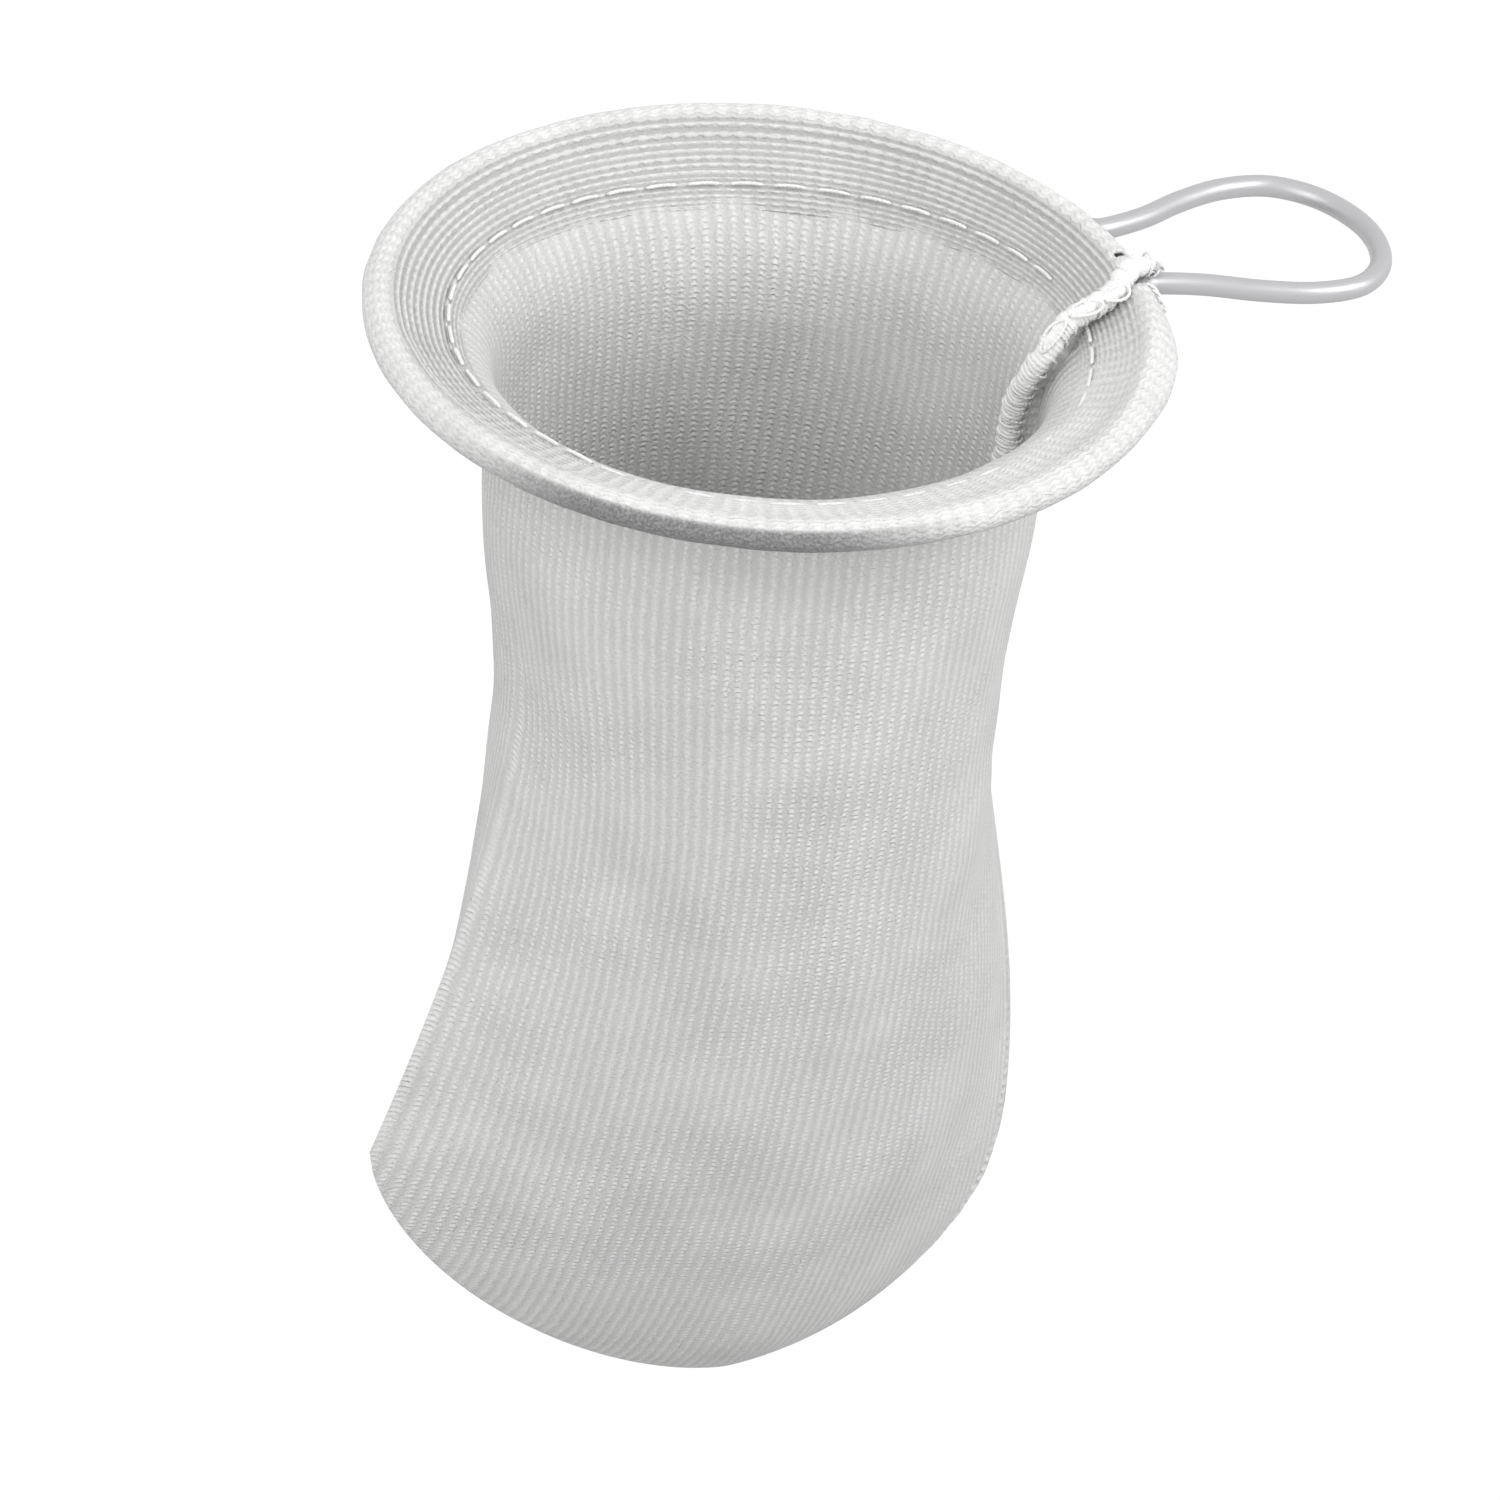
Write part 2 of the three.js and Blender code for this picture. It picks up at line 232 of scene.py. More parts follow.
# %% Smooth lines, and tubes rolled round them
def smooth_line(points, steps):
    """A centripetal Catmull-Rom line through the points, with some steps between each two."""
    ends = [2 * points[0] - points[1], *points, 2 * points[-1] - points[-2]]
    line = []
    for a, b, c, d in zip(ends, ends[1:], ends[2:], ends[3:]):
        t1 = (b - a).length ** 0.5
        t2 = t1 + (c - b).length ** 0.5
        t3 = t2 + (d - c).length ** 0.5
        for i in range(steps):
            t = lerp(t1, t2, i / steps)
            ab, bc = a.lerp(b, t / t1), b.lerp(c, (t - t1) / (t2 - t1))
            cd = c.lerp(d, (t - t2) / (t3 - t2))
            abc, bcd = ab.lerp(bc, t / t2), bc.lerp(cd, (t - t1) / (t3 - t1))
            line.append(abc.lerp(bcd, (t - t1) / (t2 - t1)))
    return [*line, points[-1]]


def add_tube(mesh, line, radius_at, sides):
    """Rolls a grid round the line. radius_at gives the radius at a share of the length."""
    steps = len(line) - 1
    made = bmesh.ops.create_grid(mesh, x_segments=sides, y_segments=steps, size=1)["verts"]
    tangents = [(line[min(i + 1, steps)] - line[max(i - 1, 0)]).normalized() for i in range(steps + 1)]
    side = tangents[0].orthogonal().normalized()
    frames = []
    for i, tangent in enumerate(tangents):
        if i:
            side = tangents[i - 1].rotation_difference(tangent) @ side
        frames.append((side.copy(), tangent.cross(side)))
    along = [0.0]
    for a, b in zip(line, line[1:]):
        along.append(along[-1] + (b - a).length)
    uv = mesh.loops.layers.uv.verify()
    for vert in made:
        column, row = round((vert.co.x + 1) / 2 * sides), round((vert.co.y + 1) / 2 * steps)
        share = along[row] / along[-1]
        for loop in vert.link_loops:
            loop[uv].uv = (column / sides, along[row])
        a, b = frames[row]
        turned = FULL_TURN * (column % sides) / sides
        vert.co = line[row] + (a * math.cos(turned) + b * math.sin(turned)) * radius_at(share, turned)
    return made


def add_piece(name, mesh, material):
    """Makes the bmesh, which is in millimetres, a finished piece in the row frame."""
    bmesh.ops.remove_doubles(mesh, verts=mesh.verts, dist=0.0005)
    bmesh.ops.recalc_face_normals(mesh, faces=mesh.faces)
    bmesh.ops.scale(mesh, vec=(MM, MM, MM), verts=mesh.verts)
    data = bpy.data.meshes.new(name)
    mesh.to_mesh(data)
    mesh.free()
    data.shade_smooth()
    data.materials.append(material)
    piece = bpy.data.objects.new(name, data)
    bpy.context.scene.collection.objects.link(piece)
    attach(piece, "root")
    print(name, len(data.polygons), "faces")
    return piece


def rounded_ends(radius, share):
    """A radius that closes to a point at both ends of a line."""
    def radius_at(along, _):
        near = min(along, 1 - along) / share
        return radius * math.sqrt(max(1 - (1 - min(near, 1)) ** 2, 0))
    return radius_at


# %% [markdown]
# ## Materials
# Cotton is matt, so it gets a high roughness and some sheen, and a part of the light passes through
# it. Under the near side of the ring a dark grey is painted into it as shade, and the knit's grooves
# and the hem's valleys are painted darker as shade. The knit follows the cloth, so it reads the UV
# map: u counts the wales, which are the columns of loops, and v is the length along a wale in
# millimetres.

# %% Small helpers for shader nodes
def new_material(name, colour, roughness):
    material = bpy.data.materials.new(name)
    material.use_nodes = True
    shader = material.node_tree.nodes["Principled BSDF"]
    shader.inputs["Base Color"].default_value = (*colour, 1)
    shader.inputs["Roughness"].default_value = roughness
    return material, material.node_tree, shader


def math_node(tree, operation, a, b=None, c=None):
    node = tree.nodes.new("ShaderNodeMath")
    node.operation = operation
    for socket, value in zip(node.inputs, (a, b, c)):
        if isinstance(value, (int, float)):
            socket.default_value = value
        elif value is not None:
            tree.links.new(value, socket)
    return node.outputs[0]


def noise_node(tree, vector, scale, detail=2.0):
    node = tree.nodes.new("ShaderNodeTexNoise")
    node.inputs["Scale"].default_value = scale
    node.inputs["Detail"].default_value = detail
    tree.links.new(vector, node.inputs["Vector"])
    return node.outputs["Fac"]


def bump_node(tree, height, distance, strength=1.0, normal=None):
    node = tree.nodes.new("ShaderNodeBump")
    node.inputs["Distance"].default_value = distance
    node.inputs["Strength"].default_value = strength
    tree.links.new(height, node.inputs["Height"])
    if normal is not None:
        tree.links.new(normal, node.inputs["Normal"])
    return node.outputs["Normal"]


# %% The knit: wales, courses and loops, as one group
COURSE = 0.88
WALE_WANDERS, WALE_SHAKES, COURSE_SHAKES = 0.35, 0.14, 0.5
FAINT_LOOPS, STRONG_LOOPS = 0.12, 0.6
ARCH_POWER, ARCH_HEIGHT = 1.5, 1.7  # how the courses bow within a wale


def knit_group():
    """Puts out the height of the knit from 0 to 1, and how much a spot lies in a groove."""
    group = bpy.data.node_groups.new("knit loops", "ShaderNodeTree")
    group.interface.new_socket("Place", in_out="INPUT", socket_type="NodeSocketVector")
    group.interface.new_socket("Hem", in_out="INPUT", socket_type="NodeSocketFloat")
    group.interface.new_socket("Height", in_out="OUTPUT", socket_type="NodeSocketFloat")
    group.interface.new_socket("Groove", in_out="OUTPUT", socket_type="NodeSocketFloat")
    inward = group.nodes.new("NodeGroupInput")
    outward = group.nodes.new("NodeGroupOutput")
    apart = group.nodes.new("ShaderNodeSeparateXYZ")
    group.links.new(inward.outputs["Place"], apart.inputs[0])
    wander = noise_node(group, inward.outputs["Place"], 0.35, 2)
    shake = noise_node(group, inward.outputs["Place"], 1.6, 1)
    u = math_node(group, "ADD", apart.outputs["X"], math_node(group, "MULTIPLY", wander, WALE_WANDERS))
    u = math_node(group, "ADD", u, math_node(group, "MULTIPLY", shake, WALE_SHAKES))
    v = math_node(group, "ADD", apart.outputs["Y"], math_node(group, "MULTIPLY", shake, COURSE_SHAKES))
    column = math_node(group, "FRACT", u)
    wave = math_node(group, "COSINE", math_node(group, "MULTIPLY", column, FULL_TURN))
    wale = math_node(group, "MULTIPLY_ADD", wave, -0.5, 0.5)
    from_middle = math_node(group, "ABSOLUTE", math_node(group, "SUBTRACT", column, 0.5))
    arch = math_node(group, "MULTIPLY", math_node(group, "POWER", from_middle, ARCH_POWER), ARCH_HEIGHT)
    row = math_node(group, "MULTIPLY_ADD", v, 1 / COURSE, arch)
    ripple = math_node(group, "COSINE", math_node(group, "MULTIPLY", row, FULL_TURN))
    course = math_node(group, "MULTIPLY_ADD", ripple, 0.5, 0.5)
    patches = noise_node(group, inward.outputs["Place"], 0.055, 1)
    shown = group.nodes.new("ShaderNodeMapRange")
    group.links.new(patches, shown.inputs["Value"])
    shown.inputs["From Min"].default_value = 0.38
    shown.inputs["From Max"].default_value = 0.62
    shown.inputs["To Min"].default_value = FAINT_LOOPS
    shown.inputs["To Max"].default_value = STRONG_LOOPS
    loops = math_node(group, "MULTIPLY", math_node(group, "MULTIPLY", wale, course), shown.outputs[0])
    body = math_node(group, "MULTIPLY_ADD", wale, 0.4, loops)
    hem = math_node(group, "MULTIPLY_ADD", wale, 0.3, math_node(group, "MULTIPLY", course, 0.3))
    hem = math_node(group, "ADD", hem, 0.3)
    mixed = group.nodes.new("ShaderNodeMix")
    group.links.new(inward.outputs["Hem"], mixed.inputs["Factor"])
    group.links.new(body, mixed.inputs["A"])
    group.links.new(hem, mixed.inputs["B"])
    group.links.new(mixed.outputs["Result"], outward.inputs["Height"])
    groove = math_node(group, "SUBTRACT", 1, mixed.outputs["Result"])
    group.links.new(groove, outward.inputs["Groove"])
    return group


KNIT = knit_group()
print("knit group with", len(KNIT.nodes), "nodes")

# %% Knitted cotton
COTTON = (0.82, 0.82, 0.815)
# Darker cotton, for shade painted into the knit's grooves and the hem's valleys, and for random mottling
SHADED_AND_MOTTLED_COTTON = (0.5, 0.5, 0.495)
# Dark grey painted into the cloth as shade under the near side of the ring
PAINTED_SHADE_GREY = (0.2, 0.2, 0.2)
COTTON_TRANSLUCENCY = 0.16
# How much shade is painted into the knit's grooves and the hem's valleys, and how much random mottling
GROOVE_PAINTED_SHADE, VALLEY_PAINTED_SHADE, MOTTLING = 0.72, 1.2, 0.5
LOOP_DEPTH, FUZZ_DEPTH = 0.00032, 0.00022


def knitted_cotton():
    material, tree, shader = new_material("knitted cotton", COTTON, 0.92)
    shader.inputs["Sheen Weight"].default_value = 0.12
    shader.inputs["Sheen Roughness"].default_value = 0.5
    shader.inputs["Specular IOR Level"].default_value = 0.2
    place = tree.nodes.new("ShaderNodeUVMap")
    place.uv_map = "knit"
    hem = tree.nodes.new("ShaderNodeAttribute")
    hem.attribute_name = "hem"
    knit = tree.nodes.new("ShaderNodeGroup")
    knit.node_tree = KNIT
    tree.links.new(place.outputs["UV"], knit.inputs["Place"])
    tree.links.new(hem.outputs["Fac"], knit.inputs["Hem"])
    here = tree.nodes.new("ShaderNodeTexCoord").outputs["Object"]
    fuzz = noise_node(tree, here, 2600, 2)
    cloudy = noise_node(tree, here, 90, 3)
    # The knit's grooves are painted darker as shade, and the fuzz and the clouds add random mottling.
    depth = math_node(tree, "MULTIPLY", knit.outputs["Groove"], GROOVE_PAINTED_SHADE)
    depth = math_node(tree, "MULTIPLY_ADD", fuzz, MOTTLING, depth)
    depth = math_node(tree, "MULTIPLY_ADD", cloudy, MOTTLING, depth)
    # The hem's valleys between its ridges are painted darker as shade.
    between = tree.nodes.new("ShaderNodeAttribute")
    between.attribute_name = "painted_valley_shade"
    depth = math_node(tree, "SUBTRACT", depth, MOTTLING)
    depth = math_node(tree, "MULTIPLY_ADD", between.outputs["Fac"], VALLEY_PAINTED_SHADE, depth)
    colour = tree.nodes.new("ShaderNodeMix")
    colour.data_type = "RGBA"
    colour.clamp_factor = True
    colour.inputs["A"].default_value = (*COTTON, 1)
    colour.inputs["B"].default_value = (*SHADED_AND_MOTTLED_COTTON, 1)
    tree.links.new(depth, colour.inputs["Factor"])
    # Dark grey is painted in as shade under the near side of the ring, speckled by the fuzz.
    wire = tree.nodes.new("ShaderNodeAttribute")
    wire.attribute_name = "painted rim shade"
    painted_rim_shade_mix = tree.nodes.new("ShaderNodeMix")
    painted_rim_shade_mix.data_type = "RGBA"
    painted_rim_shade_mix.inputs["B"].default_value = (*PAINTED_SHADE_GREY, 1)
    painted_shade_speckle = math_node(tree, "MULTIPLY_ADD", fuzz, 0.9, 0.45)
    shown = math_node(tree, "MULTIPLY", wire.outputs["Fac"], painted_shade_speckle)
    tree.links.new(shown, painted_rim_shade_mix.inputs["Factor"])
    tree.links.new(colour.outputs["Result"], painted_rim_shade_mix.inputs["A"])
    tree.links.new(painted_rim_shade_mix.outputs["Result"], shader.inputs["Base Color"])
    coarse = bump_node(tree, knit.outputs["Height"], LOOP_DEPTH)
    fine = bump_node(tree, fuzz, FUZZ_DEPTH, 1.0, coarse)
    tree.links.new(fine, shader.inputs["Normal"])
    through = tree.nodes.new("ShaderNodeBsdfTranslucent")
    through.inputs["Color"].default_value = (*COTTON, 1)
    thin = tree.nodes.new("ShaderNodeMixShader")
    thin.inputs[0].default_value = COTTON_TRANSLUCENCY
    tree.links.new(shader.outputs[0], thin.inputs[1])
    tree.links.new(through.outputs[0], thin.inputs[2])
    tree.links.new(thin.outputs[0], tree.nodes["Material Output"].inputs["Surface"])
    return material


cotton = knitted_cotton()


# %% Sewing thread, and drawn wire
THREAD, WIRE = (0.78, 0.78, 0.775), (0.46, 0.46, 0.47)
PLY_DEPTH, THREAD_FUZZ_DEPTH, STREAK_DEPTH = 0.00005, 0.00018, 0.00003


def sewing_thread():
    material, tree, shader = new_material("spun sewing thread", THREAD, 0.7)
    shader.inputs["Sheen Weight"].default_value = 0.1
    place = tree.nodes.new("ShaderNodeUVMap")
    place.uv_map = "knit"
    apart = tree.nodes.new("ShaderNodeSeparateXYZ")
    tree.links.new(place.outputs["UV"], apart.inputs[0])
    twist = math_node(tree, "MULTIPLY_ADD", apart.outputs["Y"], 1.6, apart.outputs["X"])
    ply = math_node(tree, "SINE", math_node(tree, "MULTIPLY", twist, FULL_TURN))
    fuzz = noise_node(tree, tree.nodes.new("ShaderNodeTexCoord").outputs["Object"], 2600, 2)
    ply_normal = bump_node(tree, ply, PLY_DEPTH)
    tree.links.new(bump_node(tree, fuzz, THREAD_FUZZ_DEPTH, 1.0, ply_normal), shader.inputs["Normal"])
    return material


def drawn_wire():
    material, tree, shader = new_material("drawn wire with a satin zinc coat", WIRE, 0.42)
    shader.inputs["Metallic"].default_value = 0.6
    place = tree.nodes.new("ShaderNodeUVMap")
    place.uv_map = "knit"
    stretch = tree.nodes.new("ShaderNodeMapping")
    stretch.inputs["Scale"].default_value = (9, 0.12, 1)
    tree.links.new(place.outputs["UV"], stretch.inputs["Vector"])
    streaks = noise_node(tree, stretch.outputs[0], 3, 3)
    clouds = noise_node(tree, tree.nodes.new("ShaderNodeTexCoord").outputs["Object"], 160, 3)
    rough = math_node(tree, "MULTIPLY_ADD", clouds, 0.22, 0.32)
    tree.links.new(rough, shader.inputs["Roughness"])
    tree.links.new(bump_node(tree, streaks, STREAK_DEPTH), shader.inputs["Normal"])
    return material


thread = sewing_thread()
wire_finish = drawn_wire()
print("materials:", cotton.name, thread.name, wire_finish.name)

# %% [markdown]
# ## The wire
# One length of wire makes the ring, two bends, two legs and the finger loop. Its ends meet inside
# the casing, opposite the loop. It is rolled round its middle line, which repeats the CAD route.


# %% The wire's middle line and the wire
RING_STEPS, BEND_STEPS, BEND_END = 24, (0.2, 0.4, 0.6, 0.8, 1), 1.55 * math.pi
LOOP_HALF = [  # share of the reach, and the distance from the loop's middle line
    (0.24, 9.2), (0.43, 12.4), (0.62, 14.4), (0.8, 13.8), (0.93, 9.7), (1, 3.2),
]


def wire_line():
    leave = math.asin((LEG_SPACING / 2 + BEND_RADIUS) / (RING_RADIUS + BEND_RADIUS))
    end = math.pi - RING_GAP / 2 / RING_RADIUS
    half = [polar(lerp(end, leave, i / RING_STEPS), RING_RADIUS, 0) for i in range(RING_STEPS + 1)]
    centre = polar(leave, RING_RADIUS + BEND_RADIUS, 0)
    for share in BEND_STEPS:
        half.append(centre + polar(lerp(math.pi + leave, BEND_END, share), BEND_RADIUS, 0))
    for share, y in LOOP_HALF:
        half.append(Vector((RING_RADIUS + LOOP_REACH * share, y, 0)))
    mirrored = [Vector((p.x, -p.y, 0)) for p in reversed(half)]
    points = []
    for p in [*half, *mirrored]:
        beyond = max(p.x - RING_RADIUS, 0)
        lean = LOOP_SKEW * beyond / LOOP_REACH
        points.append(Vector((p.x, p.y + lean, -beyond * math.tan(LOOP_DROOP))))
    return points


WIRE_SIDES = 22
mesh = bmesh.new()
mesh.loops.layers.uv.new("knit")
add_tube(mesh, smooth_line(wire_line(), 7), rounded_ends(WIRE_RADIUS, 0.002), WIRE_SIDES)
wire = add_piece("wire_ring_and_loop", mesh, wire_finish)
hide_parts("wire_frame")

# %% [markdown]
# ## The cloth
# A sheet of grid is laid along the profile of each wale: up the body, out under the mouth, round
# the wire and back along the hem. Cloth simulation could make such a bag too, but it would move the
# outline that was measured. A hung, stretched bag has few wrinkles, and a little noise gives those.
# The columns lie closer at the seam, where the wire's legs come out through the casing, and at the
# sharp fold opposite.

# %% Rows of the sheet
COLUMNS, SEAM_CROWDING, FOLD_CROWDING = 240, 0.3, 0.2
BODY_ROWS, MOUTH_ROWS, CASING_ROWS, HEM_ROWS = 72, 30, 30, 56
CASING_FROM, CASING_TO = math.radians(-140), math.radians(112)
HEM_STEP, HEM_STEP_WIDTH, HEM_EDGE_LIFT = 1.25, 1.7, 0.66
BOTTOM_CROWDING, THROAT_SPACING = 1.35, 1.5  # how the rows gather at the bottom and in the throat
MOUTH_END, HEM_START = 0.975, 0.985  # outward shares beside the casing
HEM_THINS_FROM, CUT_EDGE, CUT_EDGE_DROP = 6.5, 0.012, 0.2  # where the hem gets flat, and its last row


def column_angle(column):
    share = column / COLUMNS
    at_seam = SEAM_CROWDING * math.sin(FULL_TURN * share)
    at_fold = FOLD_CROWDING * math.sin(2 * FULL_TURN * share)
    return FULL_TURN * share - (at_seam + at_fold)


def cloth_profile(angle):
    """Points from the bottom seam up to the ring, round it and back along the hem."""
    levels = [1 - (i / BODY_ROWS) ** BOTTOM_CROWDING for i in range(BODY_ROWS + 1)]
    line = [body_point(angle, level, 0) for level in levels]
    spread = math.sqrt(THROAT_SPACING * mouth_turn(angle))
    for i in range(1, MOUTH_ROWS + 1):
        line.append(mouth_point(angle, MOUTH_END * (i / MOUTH_ROWS) ** spread, 0))
    for i in range(CASING_ROWS + 1):
        line.append(casing_point(angle, lerp(CASING_FROM, CASING_TO, i / CASING_ROWS)))
    for i in range(1, HEM_ROWS + 1):
        from_casing = HEM_WIDTH * i / HEM_ROWS
        lift = lerp(HEM_LIFT, HEM_EDGE_LIFT, smoothstep(from_casing, HEM_THINS_FROM, HEM_WIDTH))
        place = mouth_point(angle, lerp(HEM_START, HEM_SHARE, i / HEM_ROWS), lift)
        place.z += HEM_STEP * math.exp(-(from_casing / HEM_STEP_WIDTH) ** 2)
        line.append(place)
    line.append(mouth_point(angle, HEM_SHARE - CUT_EDGE, HEM_EDGE_LIFT - CUT_EDGE_DROP))
    return line


mouth_from = BODY_ROWS + 1
casing_from = mouth_from + MOUTH_ROWS
hem_from = casing_from + CASING_ROWS + 1
hem_edge = hem_from + HEM_ROWS
print("rows:", hem_edge + 1, "columns:", COLUMNS)

# %% [markdown]
# ### Relief that belongs to the place
# The stretched courses stand up as rings along the hem, seven coarse ones, then the stitch line,
# then finer ones. They show most at the far side, and the near side is pulled smooth. A displacement
# texture could do this, but a function of the angle and the row follows the hem exactly.

# %% Ridges of the hem and the casing, and slack in the body
RIDGE_PITCH, FINE_PITCH, STITCH_FROM_CASING = 0.9, 0.62, 7.6
RIDGE_HEIGHT, FINE_HEIGHT = 0.23, 0.15
SMOOTH_AT, PAINTED_RIM_SHADE_AT, GATHERS_AT = math.radians(-82), math.radians(-125), math.radians(-30)
SLACK = ((1.0, 30), (0.45, 12))  # heights of the waves, and how far apart they lie
MOUTH_WAVES, CASING_WAVES, HEM_WAVES = ((0.25, 9),), ((0.14, 5),), ((0.2, 7),)
CASING_LINE_HEIGHT, CASING_LINE_PITCH = 0.06, 0.95
GATHER_HEIGHT, GATHER_SPREAD, GATHERS_ROUND_WIRE, GATHERS_ALONG_RING = 0.28, 0.1, 3.6, 2.2
CREASE_HEIGHT, CREASE_FROM_CASING, CREASE_WIDTH = -0.14, 1.3, 0.4
LEAST_RIDGES, RIDGES_FADE = 0.12, (42, 88)  # degrees from the smooth place
STITCH_GAP, VALLEY_POWER = 0.8, 1.4
# Where shade is painted under the near side of the ring, in degrees round the wire and round the ring
PAINTED_SHADE_FADES_IN, PAINTED_SHADE_FADES_OUT = (-125, -80), (34, 58)  # degrees round the wire
PAINTED_SHADE_FADES_SIDEWAYS = (14, 44)  # degrees round the ring


def ridge_strength(angle):
    return lerp(LEAST_RIDGES, 1, smoothstep(math.degrees(turn_apart(angle, SMOOTH_AT)), *RIDGES_FADE))


def ridge_wave(row):
    """The hem's ridges at a row, from -1 in a valley to 1 on a ridge."""
    from_casing = HEM_WIDTH * (row - hem_from + 1) / HEM_ROWS
    if from_casing < STITCH_FROM_CASING - STITCH_GAP:
        return math.cos(FULL_TURN * from_casing / RIDGE_PITCH)
    return math.cos(FULL_TURN * (from_casing - STITCH_FROM_CASING) / FINE_PITCH)


def painted_valley_shade(angle, row):
    """How much a spot lies between two ridges, where shade is painted darker into the cloth."""
    if row < hem_from:
        return 0.0
    return ridge_strength(angle) * (0.5 - 0.5 * ridge_wave(row)) ** VALLEY_POWER


def painted_rim_shade(angle, row):
    """How much dark grey is painted into the cloth as shade, at the near underside of the ring."""
    if not casing_from <= row < hem_from:
        return 0.0
    around = math.degrees(lerp(CASING_FROM, CASING_TO, (row - casing_from) / CASING_ROWS))
    from_middle = math.degrees(turn_apart(angle, PAINTED_RIM_SHADE_AT))
    below = smoothstep(around, *PAINTED_SHADE_FADES_IN) * (1 - smoothstep(around, *PAINTED_SHADE_FADES_OUT))
    return below * (1 - smoothstep(from_middle, *PAINTED_SHADE_FADES_SIDEWAYS))


def waves(place, sizes):
    return sum(height * noise.noise(place / apart) for height, apart in sizes)


def relief(angle, row, place):
    """How far the cloth stands out from its even shape, in millimetres."""
    if row < mouth_from:
        level = row / BODY_ROWS
        off_the_edges = smoothstep(abs(math.sin(angle)), 0.02, 0.4) * smoothstep(level, 0, 0.25)
        return waves(place, SLACK) * off_the_edges * (1 - 0.5 * smoothstep(level, 0.7, 1))
    if row < casing_from:
        return waves(place, MOUTH_WAVES)
    if row < hem_from:
        around = lerp(CASING_FROM, CASING_TO, (row - casing_from) / CASING_ROWS)
        lines = CASING_LINE_HEIGHT * math.cos(FULL_TURN * around * CASING_RADIUS / CASING_LINE_PITCH)
        pulled = GATHER_HEIGHT * math.exp(-turn_apart(angle, GATHERS_AT) ** 2 / GATHER_SPREAD)
        slanted = math.cos(GATHERS_ROUND_WIRE * around + GATHERS_ALONG_RING * angle)
        gathers = pulled * slanted * smoothstep(around, -1.2, -0.2)
        return lines + gathers + waves(place, CASING_WAVES)
    from_casing = HEM_WIDTH * (row - hem_from + 1) / HEM_ROWS
    height = lerp(RIDGE_HEIGHT, FINE_HEIGHT, smoothstep(from_casing, 6, 8)) * ridge_wave(row)
    crease = CREASE_HEIGHT * math.exp(-((from_casing - CREASE_FROM_CASING) / CREASE_WIDTH) ** 2)
    return ridge_strength(angle) * height + crease + waves(place, HEM_WAVES)


# %% [markdown]
# ### Laying the sheet
# The grid's own x and y say which column and row a vertex is. The UV map counts the wales, and
# measures along them from the ring, because a knitted tube's courses run level with its mouth. It is
# written before the edges are merged, so that the wales count on without a jump at the side seam.
# The wall gets its thickness from a Solidify modifier, thinner where the ring stretches the cloth.

# %% The sheet of cloth
mesh = bmesh.new()
uv = mesh.loops.layers.uv.new("knit")
hem_layer = mesh.verts.layers.float.new("hem")
painted_valley_shade_layer = mesh.verts.layers.float.new("painted_valley_shade")
painted_rim_shade_layer = mesh.verts.layers.float.new("painted rim shade")
thickness_layer = mesh.verts.layers.deform.verify()
rows = hem_edge
grid = bmesh.ops.create_grid(mesh, x_segments=COLUMNS, y_segments=rows, size=1)["verts"]
cells = {}
for vert in grid:
    cells[round((vert.co.x + 1) / 2 * COLUMNS), round((vert.co.y + 1) / 2 * rows)] = vert
for column in range(COLUMNS + 1):
    angle = column_angle(column % COLUMNS)
    profile = cloth_profile(angle)
    along = [0.0]
    for before, place in zip(profile, profile[1:]):
        along.append(along[-1] + (place - before).length)
    for row, place in enumerate(profile):
        from_ring = along[row] - along[casing_from]
        vert = cells[column, row]
        vert.co = place
        for loop in vert.link_loops:
            loop[uv].uv = (WALES * column_angle(column) / FULL_TURN, from_ring)
bmesh.ops.remove_doubles(mesh, verts=mesh.verts, dist=0.002)
bmesh.ops.recalc_face_normals(mesh, faces=mesh.faces)
mesh.normal_update()
print("cloth:", len(mesh.verts), "vertices")

# %% The wall's thickness at each place
KNIT_THICKNESS = 0.8
FOLD_THINNESS, CASING_THINNESS, EDGE_THINNESS, EDGE_ROWS = 0.1, 0.55, 0.25, 24


def thickness_share(angle, row):
    """Full in the body, thin where the ring stretches the cloth, and at sharp folds and edges."""
    if row < mouth_from:
        sharp = (1 - row / BODY_ROWS) * (1 - smoothstep(abs(math.sin(angle)), 0, 0.5))
        return lerp(1, FOLD_THINNESS, sharp) * smoothstep(row, -1, 5)
    if row < hem_from:
        return lerp(1, CASING_THINNESS, smoothstep(row, mouth_from, mouth_from + MOUTH_ROWS))
    return lerp(CASING_THINNESS, EDGE_THINNESS, smoothstep(row, hem_edge - EDGE_ROWS, hem_edge))


# %% Press the relief in, say where the hem is, and where shade is painted in its valleys and under the near rim
shifts = []
for (column, row), vert in cells.items():
    if vert.is_valid:
        angle = column_angle(column % COLUMNS)
        shifts.append((vert, vert.normal * relief(angle, row, vert.co)))
        vert[hem_layer] = smoothstep(row, casing_from, casing_from + 10)
        vert[painted_valley_shade_layer] = painted_valley_shade(angle, row)
        vert[painted_rim_shade_layer] = painted_rim_shade(angle, row)
        vert[thickness_layer][0] = thickness_share(angle, row)
on_hem = [vert for (_, row), vert in cells.items() if vert.is_valid and row > hem_from]
inside_out = sum(vert.normal.z for vert in on_hem) < 0
if inside_out:
    bmesh.ops.reverse_faces(mesh, faces=mesh.faces)
for vert, shift in shifts:
    vert.co += -shift if inside_out else shift

